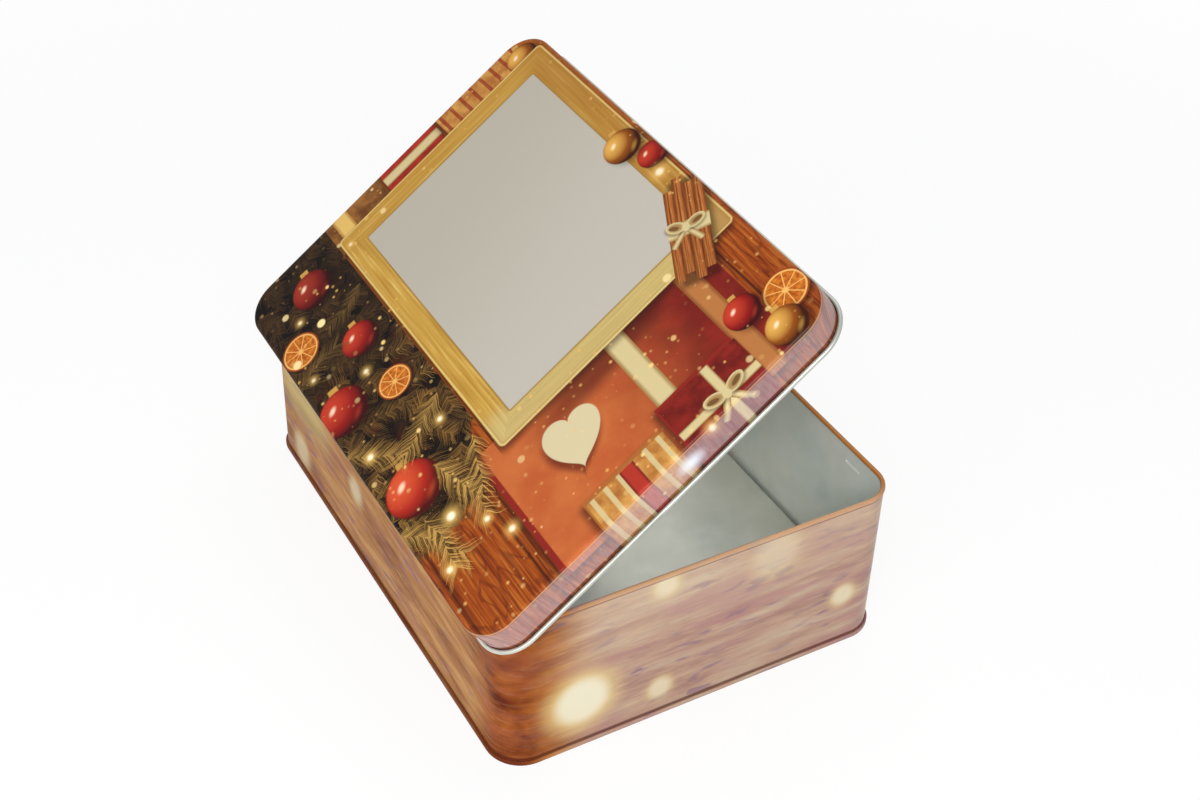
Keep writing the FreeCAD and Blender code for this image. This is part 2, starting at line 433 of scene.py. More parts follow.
def soft_light(colour, at, x, y, radius, strength):
    """A lamp out of focus: a pale disc with a yellow rim that fades out."""
    reach = far(put(at, x, y, 0, radius))
    colour = blended(below(reach, 0.95, 0.9) * (0.8 * strength), colour, (222, 196, 130))
    return blended(below(reach, 0.7, 0.45 + 0.5 * (1 - strength)) * (0.92 * strength), colour, (222, 216, 192))


WALL_LAMPS = ((392, 28, 18, 1), (432, 79, 8, 0.55), (432, 17, 8, 0.55), (530, 31, 8, 0.6), (201, 41, 9, 0.45),
              (128, 14, 12, 0.45), (489, 74, 16, 0.3), (612, 56, 16, 0.8), (668, 24, 8, 0.6), (742, 66, 12, 0.5),
              (860, 40, 17, 0.8), (34, 62, 11, 0.5))
RIM_LINE = 83.3
corner_run = CORNER * math.pi / 2 / MM
left_start = (HALF_X - CORNER) / MM + corner_run
front_start = left_start + 2 * (HALF_Y - CORNER) / MM + corner_run
front_end = front_start + 2 * (HALF_X - CORNER) / MM


def wall_print(way_round):
    """Blurred boards in warm browns, with mauve dashes and lamps out of focus, under a gloss varnish.

    The run starts in the middle of the back and goes by the hinge side to the front.
    """
    material, shader, flow = new_finish("wall_print")
    at = printed_at(flow)
    run, height = at
    turned = run * (math.tau / way_round)
    ring = [turned.maths(name) * (way_round / math.tau) for name in ("COSINE", "SINE")]

    def round_mottle(shift, wide, high, detail, rough=0.5, warp=0.0):
        """Smooth noise on a ring, so that the print meets itself behind the tin."""
        parts = [ring[0].maths("MULTIPLY_ADD", 1 / wide, shift), ring[1] / wide,
                 height.maths("MULTIPLY_ADD", 1 / high, shift)]
        return cloud(flow, flow.node("ShaderNodeCombineXYZ", {}, parts), 1, detail, rough, warp)

    front = soft_step(run, front_start + 2, front_start + 34) * soft_step(run, front_end + 18, front_end)
    # Painted shade: by the front-left corner the print turns darker and a deeper orange, where the wall turns at
    # the corner.
    corner_shade = soft_step(run, front_start - 45, front_start - 18) * soft_step(run, front_start + 22, front_start - 8)
    streaks = round_mottle(0, 62, 8, 4, 0.55, 0.35)
    colour = toned(streaks, (0.3, (126, 76, 42)), (0.5, (170, 118, 68)), (0.7, (200, 154, 94)))
    # On the front wall the print turns pale and mauve: a painted reflection of the bright surroundings.
    painted_front_veil = toned(streaks, (0.3, (150, 112, 100)), (0.5, (173, 139, 118)), (0.7, (182, 160, 137)))
    colour = blended(front, colour, painted_front_veil)
    # The darker, deeper orange tones of the painted corner shade.
    painted_corner_shade = toned(round_mottle(31, 34, 18, 4, 0.55, 0.4), (0.34, (92, 32, 8)), (0.66, (172, 94, 34)))
    colour = blended(corner_shade, colour, painted_corner_shade)
    grain = round_mottle(3, 15, 1.5, 3, 0.6)
    colour = blended(soft_step(grain, 0.5, 0.8) * (0.4 - corner_shade * 0.25), colour, (212, 178, 136))
    colour = blended(soft_step(grain, 0.46, 0.2) * 0.35, colour, (128, 74, 52))
    # Mauve blots of the print. They are stronger on the front wall, where they also add painted reflection.
    cast = soft_step(round_mottle(7, 60, 9, 2), 0.46, 0.64)
    colour = blended(cast * (front * 0.3 + 0.2) * (1 - corner_shade * 0.6), colour, (160, 110, 112))
    dashes = soft_step(round_mottle(11, 15, 3.6, 1, 0.4, 0.3), 0.53, 0.7)
    dashes = dashes * soft_step(round_mottle(17, 46, 20, 1), 0.42, 0.6)
    colour = blended(dashes * 0.72, colour, blended(corner_shade, (122, 90, 112), (66, 26, 26)))
    patch = soft_step(run, left_start - 13, left_start + 11) * soft_step(run, left_start + 69, left_start + 41)
    colour = blended(patch * soft_step(height, 26, 50) * 0.65, colour, (192, 176, 116))
    # Painted highlight: the front wall is lighter towards its top.
    colour = blended(front * soft_step(height, 40, 82) * 0.35, colour, (206, 184, 156))
    for lamp in WALL_LAMPS:
        colour = soft_light(colour, at, *lamp)
    # Painted shade: a dark line in the crease above the bottom seam.
    colour = blended(below(abs(height - 3.1), 1.0, 0.9) * 0.75, colour, (84, 36, 22))
    seam = below(height, 2.2, 0.6) * soft_step(run, front_start + 2, front_start - 20)
    colour = blended(seam * 0.7, colour, (96, 34, 18))
    # Painted shade: a dark line in the crease under the rim's bead.
    colour = blended(below(abs(height - RIM_LINE), 0.5, 0.6) * 0.6, colour, (96, 46, 28))
    rim = soft_step(height, RIM_LINE + 0.5, RIM_LINE + 1.3)
    # The bead's orange-brown print, paler on the front by a painted reflection.
    rim_print_and_front_veil = blended(front * 0.65, (172, 104, 40), (204, 162, 122))
    colour = blended(rim * (0.85 - dashes * 0.6), colour, rim_print_and_front_veil)
    plain = soft_step(run, left_start - 49, left_start + 11) * soft_step(run, front_start + 50, front_start + 2)
    drive(shader, {"Base Color": colour, "Roughness": 0.24 + grain * 0.1, "Specular IOR Level": 0.0,
                   "Coat Weight": 0.66 - plain * 0.5, "Coat Roughness": 0.12,
                   "Normal": rolled(flow, round_mottle(23, 60, 34, 1), 0.4, 0.0006)})
    return material


# The inner walls get the same tinplate as the floor, painted lighter: painted light that brightens the dim inner
# walls.
tin_walls_painted_lighter = bare_tinplate("tinplate_walls_painted_lighter", (198, 214, 214), (236, 244, 240), (250, 250, 244))
tin_bare = bare_tinplate("tinplate_flats", (164, 168, 160), (186, 188, 178), (202, 202, 191))
carry_round = carry_round_tree()

DIMPLE_FROM_MIDDLE = 100 * MM
DIMPLE_HEIGHT = BODY_HEIGHT - 11 * MM
DIMPLE_LENGTH = 12.5 * MM
DIMPLE_REACH = 1.5 * MM

rim_radius = RIM_CURL / 2
jog, jog_height = step_out(RIM_PROUD, TIGHT_BEND * 2)
ledge = SEAM_HEIGHT - SHEET / 2
wall_run = BODY_HEIGHT - rim_radius - jog_height - ledge - TIGHT_BEND
above_dimple = 6 * MM
wall_folds = [straight(SEAM_FOLD + SEAM_PROUD - SHEET / 2 - TIGHT_BEND, 2), bend(TIGHT_BEND, 90),
              straight(ledge - SHEET / 2 - 2 * TIGHT_BEND), bend(TIGHT_BEND, 90),
              straight(SEAM_PROUD - 2 * TIGHT_BEND), bend(TIGHT_BEND, -90),
              straight(wall_run - 2 * above_dimple, 8), straight(2 * above_dimple, 44)]
wall_folds += jog + [bend(rim_radius - SHEET / 2, 275)]
wall_section = folded((-SEAM_FOLD, SHEET / 2), 0, wall_folds, SHEET, printed_left=False)
wall_path = round_path(HALF_X, HALF_Y, CORNER, 8 * MM,
                       [(side * DIMPLE_FROM_MIDDLE - DIMPLE_LENGTH / 2 - MM,
                         side * DIMPLE_FROM_MIDDLE + DIMPLE_LENGTH / 2 + MM) for side in (-1, 1)])


def along_the_wall(point, outward):
    """The wall's print runs along the wall and up the sheet."""
    return (point[2], -(SEAM_FOLD + SEAM_PROUD), 0), (0, 1, 0)


wall_finish = wall_print(wall_path[-1][2] / MM)
body = shell_round("printed_body", carry_round, wall_path, wall_section, True, along_the_wall,
                   **{"Printed finish": wall_finish, "Bare finish": tin_walls_painted_lighter, "Dimple reach": DIMPLE_REACH,
                      "Dimple depth": 0.8 * MM, "Dimple at x": HALF_X - MM, "Dimple at y": DIMPLE_FROM_MIDDLE,
                      "Dimple at z": DIMPLE_HEIGHT, "Dimple half length": DIMPLE_LENGTH / 2 - DIMPLE_REACH})
finish_mesh(body, (CENTRE_X, 0, 0))
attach(body, "tin")
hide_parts("body_wall")


# The bottom panel.  A flat floor of bare tinplate stands raised inside the wall.  Its edge is rounded over
# and turned down, which leaves a narrow crevice all round, and its flange is held in the wall's seam.

CREVICE = 1.3 * MM
FLOOR_ROUND = 2 * MM
FLANGE_REACH = 0.5 * MM


def close_flats(piece):
    """Fill the two open rims of a shell with flat plates."""
    with edited(piece.data) as work:
        rims = [edge for edge in work.edges if edge.is_boundary]
        made = bmesh.ops.edgeloop_fill(work, edges=rims)["faces"]
        uv = work.loops.layers.uv["print"]
        for face in made:
            near = face.edges[0].link_faces
            face.material_index = next(other for other in near if other is not face).material_index
            for loop in face.loops:
                loop[uv].uv = next(other[uv].uv for other in loop.vert.link_loops if other.face not in made)


floor_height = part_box("bottom_panel")[1].z
upright = -SHEET - CREVICE
floor_bend = FLOOR_ROUND - SHEET / 2
flange_height = SHEET * 1.5
flat_part = 4 * MM
floor_folds = [straight(flat_part), straight(0.4 * MM), bend(floor_bend, -90),
               straight(floor_height - FLOOR_ROUND - TIGHT_BEND - flange_height, 2), bend(TIGHT_BEND, 90),
               straight(FLANGE_REACH - upright + SHEET / 2 - TIGHT_BEND)]
floor_section = folded((upright - FLOOR_ROUND - flat_part - 0.4 * MM, floor_height - SHEET / 2), 0,
                       floor_folds, SHEET, printed_left=True)
floor_section = [point[:3] + (0.0,) for point in floor_section]
panel = shell_round("floor_panel", carry_round, round_path(HALF_X, HALF_Y, CORNER, 12 * MM), floor_section, False,
                    along_the_wall, **{"Printed finish": tin_bare, "Bare finish": tin_bare, "Dimple at x": 1.0})
close_flats(panel)
finish_mesh(panel, (CENTRE_X, 0, 0))
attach(panel, "tin")
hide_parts("bottom_panel")


# The lid.  A shallow tray of printed tinplate, with a rounded edge and a skirt whose lower edge curls
# outwards, so that its bare inner side shows as a bright bead.  Two notches leave room for the hinge.

LID_GAP = 1.7 * MM
LID_ROUND = 2.5 * MM
LID_DEPTH = 18.5 * MM
LID_CURL = 2.2 * MM
LID_REST_GAP = 0.3 * MM

hinge = frame["joints"][0]
hinge_line = Vector(hinge["pos_m"])
lid_angle = math.radians(-hinge["range_deg"][0])
lid_top = BODY_HEIGHT + LID_REST_GAP + SHEET
lid_x, lid_y, lid_corner = HALF_X + LID_GAP, HALF_Y + LID_GAP, CORNER + LID_GAP


def mottle(at, wide, high=None, detail=2.0, rough=0.5, warp=0.0):
    """Smooth noise, 0 to 1, with blots about as large as wide and high."""
    a, b = put(at, 0, 0, 0, wide, high)
    return cloud(a, a.node("ShaderNodeCombineXYZ", {}, [a, b]), 1, detail, rough, warp)


def block(at, half_wide, half_high, soft=0.7):
    """1 inside a rectangle round the place's middle."""
    return below(abs(at[0]), half_wide, soft) * below(abs(at[1]), half_high, soft)


def past(at, half_wide, half_high, corner):
    """How far a place lies outside the outline of a rounded rectangle."""
    over = [(abs(value) - (half - corner)).maths("MAXIMUM", 0) for value, half in zip(at, (half_wide, half_high))]
    return far(over) - corner


def bands(value, pitch, share, soft=0.06):
    """1 on stripes that repeat at the pitch and take up the share of it."""
    return below(abs((value / pitch).maths("FRACT") - 0.5), share / 2, soft)


def shaken(at, size, reach):
    """The place moved about by smooth noise."""
    parts = at[0].node("ShaderNodeSeparateColor", {}, [mottle(at, size, None, 1).out("Color")])
    return tuple(value + (parts.out(name) - 0.5) * (reach * 2) for value, name in zip(at, ("Red", "Green")))


def chances(seed):
    """Three random numbers, 0 to 1, for each seed."""
    parts = seed.node("ShaderNodeTexWhiteNoise", {"noise_dimensions": "1D"}, {"W": seed}).out("Color")
    parts = seed.node("ShaderNodeSeparateColor", {}, [parts])
    return parts.out("Red"), parts.out("Green"), parts.out("Blue")


def cells(at, grain, turn, seed):
    """The place from the middle of its own square cell, in cells, and a number for each cell."""
    a, b = put(at, 0, 0, turn, grain)
    column, row = a.maths("FLOOR"), b.maths("FLOOR")
    return (a - column - 0.5, b - row - 0.5), column.maths("MULTIPLY_ADD", 13.71, row * 71.37) + seed


def layer(name, at, under, draw):
    """Draw one layer of a print over the colours under it, in a node group of its own."""
    tree = bpy.data.node_groups.new(name, "ShaderNodeTree")
    for label, kind in (("Across", "Float"), ("Along", "Float"), ("Under", "Color")):
        tree.interface.new_socket(label, in_out="INPUT", socket_type="NodeSocket" + kind)
    tree.interface.new_socket("Colour", in_out="OUTPUT", socket_type="NodeSocketColor")
    given = Flow(tree).node("NodeGroupInput")
    given.node("NodeGroupOutput", {}, [draw((given.out("Across"), given.out("Along")), given.out("Under"))])
    return under.node("ShaderNodeGroup", {"node_tree": tree}, [*at, under])


def needles(a, b, length, reach, pitch, seed, lean=0.75):
    """The needles and stem of a sprig that grows from 0 to length along a: their mask, and a tone for each."""
    side = abs(b)
    foot = a - side * lean
    count = foot / pitch
    tone = chances(count.maths("FLOOR") + b.maths("SIGN") * 0.31 + seed)[0]
    own_reach = (tone * 0.45 + 0.65) * reach
    width = 0.46 - side / own_reach * 0.4
    needle = below(abs(count.maths("FRACT") - 0.5) - width, 0, 0.22) * (side < own_reach)
    stem = below(side, 0.55, 0.5) * (a > 0) * (a < length)
    return (needle * (foot > 0) * (foot < length)).maths("MAXIMUM", stem), tone


def thicket(colour, at, grain, turn, low, high, share, seed):
    """Lay a tangle of sprigs on the colour, one to a cell, each turned its own way."""
    (a, b), cell = cells(at, grain, turn, seed)
    lean, bright, shift = chances(cell)
    turned = lean * 3.6 - 3.2
    cosine, sine = turned.maths("COSINE") * grain, turned.maths("SINE") * grain
    along = a * cosine + b * sine + grain * 0.5
    aside = b * cosine - a * sine
    mask, tone = needles(along, aside, grain * 0.95, grain * 0.42, 1.1, seed)
    tint = blended(tone * (bright * 0.8 + 0.2), low, high)
    return blended(mask * share, colour, tint)


def bauble(colour, at, x, y, radius, low=(58, 8, 10), mid=(140, 24, 20), high=(200, 64, 40)):
    """A glass ball with its soft shadow, its gold cap and the shine of a window on it."""
    shade = far(put(at, x + radius * 0.25, y - radius * 0.3, 0, radius * 1.25))
    colour = blended(below(shade, 0.75, 0.7) * 0.75, colour, (20, 7, 6))
    cap = put(at, x + radius * 0.1, y + radius * 1.06, -5, radius)
    colour = blended(block(cap, 0.2, 0.16, 0.06), colour, (196, 150, 72))
    ball = put(at, x, y, 0, radius)
    reach = far(ball)
    height = (1 - reach * reach).maths("MAXIMUM", 0).maths("SQRT")
    light = height * 0.62 + ball[1] * 0.42 - ball[0] * 0.3
    skin = toned(light, (0.05, low), (0.45, mid), (0.88, high))
    skin = blended(below(far(put(ball, 0.42, -0.52, 40, 0.5, 0.2)), 0.5, 1.0) * 0.35, skin, high)
    skin = blended(below(far(put(ball, -0.3, 0.38, 35, 0.3, 0.18)), 0.55, 0.8) * 0.85, skin, (255, 224, 190))
    return blended(below(reach, 1, 0.08), colour, skin)


def orange_slice(colour, at, x, y, radius, turn):
    """A dried slice of orange: dark rind, pale pith and a ring of segments."""
    colour = blended(below(far(put(at, x + 1.2, y - 1.6, 0, radius)), 1, 0.35) * 0.7, colour, (24, 8, 6))
    disc = put(at, x, y, turn, radius)
    reach = far(disc)
    part = abs((disc[1].maths("ARCTAN2", disc[0]) * (9 / math.tau)).maths("FRACT") - 0.5)
    flesh = toned(mottle(disc, 0.2), (0.3, (150, 62, 16)), (0.7, (216, 128, 40)))
    pale = (232, 176, 96)
    skin = below((0.5 - part) * reach, 0.03, 0.03).maths("MAXIMUM", below(reach, 0.14, 0.1))
    flesh = blended(skin.maths("MAXIMUM", below(0.84 - reach, 0, 0.05)), flesh, pale)
    flesh = blended(below(0.92 - reach, 0, 0.04), flesh, (150, 64, 18))
    return blended(below(reach, 1, 0.05), colour, flesh)


def paper(at, size, low, high):
    """Wrapping paper, softly uneven."""
    return blended(soft_step(mottle(put(at, 5, 5, 20), size, None, 3, 0.55), 0.3, 0.7), low, high)


def wrapped(colour, at, spot, half, look, side_colour, depth=(0, -6)):
    """Lay a wrapped box on the picture: a soft shadow, its darker side and its lit top."""
    x, y, turn = spot
    shadow = block(put(at, x + depth[0] - 1.5, y + depth[1] - 2, turn), half[0] + 1, half[1] + 1, 6)
    colour = blended(shadow * 0.75, colour, (34, 10, 8))
    colour = blended(block(put(at, x + depth[0], y + depth[1], turn), *half), colour, side_colour)
    top = put(at, x, y, turn)
    mask = block(top, *half)
    return blended(mask, colour, look(top)), mask, top


def ribbon(colour, mask, value, at, half, low, high):
    """Lay a satin band where the value is within half of at, bright along its middle."""
    away = abs(value - at)
    band = toned(away / half, (0.0, high), (0.62, high), (0.9, low))
    return blended(below(away, half, 0.5) * mask, colour, band)


def bow(colour, at, x, y, turn, size, low, high):
    """Two tails, two loops and a knot of ribbon."""
    own = put(at, x, y, turn, size)
    for side in (-1, 1):
        tail = put(own, side * 0.42, -0.55, side * 38, 0.17, 0.62)
        colour = blended(block(tail, 1, 1, 0.12), colour, blended(below(abs(tail[0]), 0.5, 0.8), low, high))
    for side in (-1, 1):
        shade = far(put(own, side * 0.58, 0.08, side * 20, 0.62, 0.38))
        colour = blended(below(shade, 1, 0.4) * 0.5, colour, (50, 16, 10))
        reach = far(put(own, side * 0.56, 0.2, side * 20, 0.56, 0.34))
        colour = blended(below(reach, 1, 0.1), colour, blended(below(reach, 0.72, 0.5), high, low))
        hollow = far(put(own, side * 0.66, 0.2, side * 20, 0.3, 0.13))
        colour = blended(below(hollow, 1, 0.3) * 0.85, colour, (104, 66, 34))
    return blended(below(far(put(own, 0, 0, 0, 0.2, 0.26)), 1, 0.2), colour, high)


def specks(colour, at, grain, size, share, tone, zone, seed):
    """Small round lights strewn over the picture, each its own size and brightness."""
    own, cell = cells(at, grain, seed * 7, seed)
    large, aside, up = chances(cell)
    radius = (large - (1 - share)).maths("MAXIMUM", 0) * (size / share)
    reach = far(((own[0] - (aside - 0.5) * 0.6) * grain, (own[1] - (up - 0.5) * 0.6) * grain))
    bright = (aside * 7.3).maths("FRACT") * 0.75 + 0.25
    return blended(below(reach - radius, -0.1, 1.1) * (radius > 0.05) * zone * bright, colour, tone)


def glow(colour, at, x, y, radius, strength):
    """A small warm lamp: a wide soft glow round a bright core."""
    reach = far(put(at, x, y, 0, radius))
    colour = blended(below(reach, 0.5, 1.0).maths("POWER", 1.6) * (0.7 * strength), colour, (255, 206, 110))
    return blended(below(reach, 0.22, 0.26) * strength, colour, (255, 246, 214))


PANEL_MIDDLE, PANEL_HALF = (28.25, 28.5), (57.25, 77.5)
BAR = 13.5
CREAM, CREAM_SHADE = (206, 188, 138), (160, 128, 78)
RED, DEEP_RED = (180, 86, 44), (134, 34, 26)
TAN, DEEP_TAN = (206, 152, 76), (164, 98, 44)
GOLD_BALL = (58, 20, 6), (140, 74, 18), (232, 178, 84)


def plain_paper(size, low, high):
    """A look for wrapped(): plain paper."""
    return lambda own: paper(own, size, low, high)


def striped_paper(pitch, low, high, line):
    """A look for wrapped(): paper with plain stripes."""
    return lambda own: blended(bands(own[0], pitch, 0.32) * 0.85, paper(own, 9, low, high), line)


def boards(at, under):
    """Warm brown boards with long grain and dark seams."""
    across, along = at
    broad = mottle(at, 22, 80, 3, 0.5, 0.5)
    lines = mottle(at, 1.5, 40, 4, 0.62, 0.3)
    rings = abs((broad * 11).maths("FRACT") - 0.5)
    colour = toned(lines, (0.3, (98, 36, 9)), (0.5, (152, 68, 18)), (0.72, (184, 108, 40)))
    colour = blended(below(rings, 0.1, 0.18) * 0.55, colour, (92, 34, 12))
    seam = abs(((across + 7) / 36).maths("FRACT") - 0.5)
    colour = blended(below(seam, 0.02, 0.04) * 0.8, colour, (48, 17, 8))
    return blended(soft_step(along, -60, 60) * 0.5, colour, (176, 104, 40))


def boxes_behind(at, colour):
    """The wrapped boxes that show beyond the frame's far side."""
    colour, mask, top = wrapped(colour, at, (-30, 133, 0), (23, 18),
                                plain_paper(12, (98, 56, 26), (158, 104, 50)), DEEP_TAN)
    colour = ribbon(colour, mask, top[0], -4, 5, (176, 130, 62), (220, 180, 100))
    colour, mask, top = wrapped(colour, at, (14, 130, 0), (19, 17),
                                plain_paper(12, DEEP_RED, (176, 46, 32)), DEEP_RED)
    colour = ribbon(colour, mask, top[1], -3, 3.4, CREAM_SHADE, CREAM)
    colour, mask, top = wrapped(colour, at, (62, 132, 2), (27, 17), plain_paper(9, DEEP_TAN, TAN), DEEP_TAN)
    colour = blended(bands(top[0], 7, 0.28) * mask * 0.8, colour, (138, 36, 26))
    return bauble(colour, at, 88, 121, 9, *GOLD_BALL)


def red_parcel(at, colour):
    """The large red parcel below the frame, with two ribbons and a cut-out heart lying on it."""
    across = at[0]
    colour, mask, top = wrapped(colour, at, (14, -98, 0), (66, 42), plain_paper(22, RED, (192, 104, 54)),
                                DEEP_RED, (-3, 0))
    colour = blended(soft_step(across, -8, 62) * mask, colour, paper(at, 16, (108, 26, 20), DEEP_RED))
    colour = blended(below(far(put(at, 22, -66, 8, 62, 13)), 0.7, 0.7) * mask * 0.7, colour, (74, 16, 14))
    colour = ribbon(colour, mask, across, 25, 5.6, CREAM_SHADE, CREAM)
    colour = ribbon(colour, mask, across, 66, 5.2, (140, 84, 42), (176, 112, 60))
    for shift, soft, share, tone in ((3.4, 0.35, 0.75, (88, 22, 16)), (0.0, 0.05, 1.0, (208, 193, 154))):
        a, b = put(at, -16 - shift * 0.6, -90 - shift, -14, 17)
        b = b * 1.12 - abs(a).maths("SQRT") * 0.62 + 0.12
        colour = blended(below(far((a, b)), 0.86, soft) * share, colour, tone)
    return colour


def fir_garland(at, colour):
    """The dark fir garland down the left side, with the warm gleam of lamps behind it."""
    across, along = at
    wander = mottle(at, 17, None, 3)
    ragged = across + (wander - 0.5) * 34 + soft_step(along, -30, -78) * 26
    garland = below(ragged, -40, 5) * below((mottle(at, 7) - 0.5) * 14 - along, 74, 10)
    gleam = soft_step(mottle(put(at, 31, 5), 24), 0.5, 0.72)
    ground = blended(gleam * soft_step(along, 120, -40), (14, 9, 7), (96, 42, 18))
    colour = blended(garland, colour, ground)
    sway = shaken(shaken(at, 13, 3.0), 3.2, 0.5)
    colour = thicket(colour, sway, 15, 20, (22, 15, 10), (72, 48, 24), garland, 3)
    lit = blended(soft_step(along, 90, -70), (84, 58, 30), (168, 124, 58))
    colour = thicket(colour, sway, 21, -28, (36, 22, 12), lit, garland, 11)
    return thicket(colour, sway, 17, 50, (36, 22, 12), lit, garland, 27)


def hung_things(at, colour):
    """Glass balls and slices of orange hung in the fir."""
    colour = bauble(colour, at, -67, 108, 12, (44, 6, 8), (112, 22, 18), (164, 54, 36))
    colour = orange_slice(colour, at, -90, 80, 11, 10)
    colour = bauble(colour, at, -63, 56, 10.5)
    colour = bauble(colour, at, -90, 27, 14)
    colour = orange_slice(colour, at, -62, 17, 9.5, 50)
    return bauble(colour, at, -84, -42, 15, (74, 12, 10), (168, 38, 24), (220, 88, 50))


def near_sprigs(at, colour):
    """The brighter sprigs in front."""
    sway = shaken(shaken(at, 13, 3.0), 3.2, 0.5)
    for x, y, turn, length, reach, seed in (
            (-104, 60, 14, 30, 7, 5), (-46, 84, 200, 26, 6, 9), (-104, 4, -38, 34, 8, 21),
            (-50, -8, 214, 34, 8, 33), (-102, -56, -52, 40, 8, 41), (-70, -40, -72, 44, 8, 57),
            (-50, -44, -104, 34, 7, 63), (-88, -60, -84, 34, 7, 71)):
        a, b = put(sway, x, y, turn)
        mask, tone = needles(a, b + a * a * 0.004, length, reach, 0.95, seed, 1.1)
        lit = blended(soft_step(at[1], 90, -70), (112, 84, 42), (206, 160, 82))
        colour = blended(mask * 0.9, colour, blended(tone, (44, 28, 13), lit))
    return colour


def gold_frame(at, colour):
    """A gold frame round a blank panel."""
    half = PANEL_HALF
    own = put(at, *PANEL_MIDDLE)
    shade = past(put(own, -1.5, -2), half[0] + BAR, half[1] + BAR, 4)
    colour = blended(below(shade, 1, 6) * 0.7, colour, (46, 18, 10))
    a, b = own
    upright = (abs(a) - half[0]) > (abs(b) - half[1])
    grain = mottle(at, 40, 1.6, 3) + upright * (mottle(at, 1.6, 40, 3) - mottle(at, 40, 1.6, 3))
    gold = toned(grain, (0.3, (172, 128, 50)), (0.55, (196, 154, 70)), (0.75, (214, 182, 104)))
    gold = blended(below(b, -half[1] + 4, 14) * 0.6, gold, (194, 178, 122))
    gold = blended(below(half[0] - a, 2, 20) * 0.6, gold, (158, 102, 40))
    gold = blended(below(half[1] - b, 0, 8) * 0.4, gold, (178, 130, 54))
    beyond = past(own, half[0] + BAR, half[1] + BAR, 3)
    colour = blended(below(beyond, 0, 0.7), colour, gold)
    colour = blended(below(abs(beyond + 0.6), 0.4, 0.6) * 0.6, colour, (228, 204, 132))
    colour = blended(below(abs(beyond + 1.7), 0.3, 0.8) * 0.35, colour, (150, 104, 40))
    inner = past(own, *half, 0.6)
    colour = blended(below(inner, 0.9, 0.8) * 0.8, colour, (150, 112, 52))
    blank = blended(soft_step(b - a * 0.3, -60, 60), (185, 179, 167), (179, 172, 158))
    return blended(below(inner, 0, 0.5), colour, blank)


def sticks_and_balls(at, colour):
    """Cinnamon sticks tied with a ribbon, and glass balls, that lie over the frame's right side."""
    own = put(at, 83, -46, 62)
    colour = blended(block(put(own, -2, -2.5), 30, 10, 5) * 0.7, colour, (34, 12, 8))
    for aside, start, end in ((-7.5, -26, 28), (-2.6, -30, 25), (2.6, -25, 30), (7.5, -28, 24)):
        a, b = put(own, (start + end) / 2, aside)
        bark = mottle((a, b), 22, 1.1, 3, 0.6)
        stick = toned(bark, (0.32, (118, 58, 24)), (0.52, (172, 98, 44)), (0.72, (206, 146, 80)))
        stick = blended(soft_step(abs(b), 1.1, 2.7) * 0.75, stick, (70, 28, 12))
        stick = blended(below(abs(b - 0.5), 0.25, 0.5) * 0.7, stick, (62, 24, 10))
        colour = blended(block((a, b), (end - start) / 2, 2.6, 0.5), colour, stick)
    band = block(own, 4.2, 10.6, 0.6)
    colour = blended(band, colour, toned(abs(own[0]) / 4.2, (0.1, CREAM), (0.62, CREAM), (0.95, CREAM_SHADE)))
    colour = bow(colour, at, 82, -45, -28, 9, CREAM_SHADE, CREAM)
    colour = bauble(colour, at, 96, 4, 8)
    return bauble(colour, at, 89, 22, 10, *GOLD_BALL)


def striped_box(at, colour):
    """The striped box at the front."""
    colour, mask, top = wrapped(colour, at, (-8, -141, 0), (22, 21), striped_paper(7.5, DEEP_TAN, TAN, CREAM),
                                DEEP_TAN, (-1, 2))
    return ribbon(colour, mask, top[0], 1, 4, (120, 30, 24), (170, 50, 36))


def front_boxes(at, colour):
    """The dark red box with a bow, and the glass balls and a slice of orange beside it."""
    colour, mask, top = wrapped(colour, at, (40, -136, 0), (22, 25), plain_paper(8, (96, 22, 18), DEEP_RED),
                                DEEP_RED, (-1, 2))
    colour = ribbon(colour, mask, top[1], 6, 2.4, CREAM_SHADE, CREAM)
    colour = ribbon(colour, mask, top[0], 4, 2.4, CREAM_SHADE, CREAM)
    colour = bow(colour, at, 44, -130, 0, 10, CREAM_SHADE, CREAM)
    colour = orange_slice(colour, at, 91, -112, 11, 25)
    colour = bauble(colour, at, 72, -104, 9)
    return bauble(colour, at, 81, -126, 10, *GOLD_BALL)


def lights(at, colour):
    """Small lamps, and specks of light like drifting snow."""
    for x, y, radius, strength in ((-78, -70, 9, 1), (-92, -8, 7, 0.9), (-70, 36, 6, 0.7), (-82, 96, 5, 0.7),
                                   (-56, -22, 6, 0.8), (-60, -100, 7, 0.8), (30, -137, 7, 0.8), (-93, 58, 5, 0.6),
                                   (-38, 112, 5, 0.5), (92, -8, 9, 0.7), (-66, -86, 6, 0.8),
                                   (-92, -92, 7, 0.8)):
        colour = glow(colour, at, x, y, radius, strength)
    off_panel = 1 - below(past(put(at, *PANEL_MIDDLE), *PANEL_HALF, 0.6), 1.5, 1.5)
    drift = soft_step(mottle(put(at, 12, 40), 30), 0.38, 0.62) * off_panel
    colour = specks(colour, at, 5.5, 0.9, 0.4, (236, 180, 100), drift, 3)
    colour = specks(colour, at, 10, 1.5, 0.45, (244, 206, 128), drift, 17)
    return specks(colour, at, 24, 2.6, 0.35, (250, 226, 160), off_panel, 29)


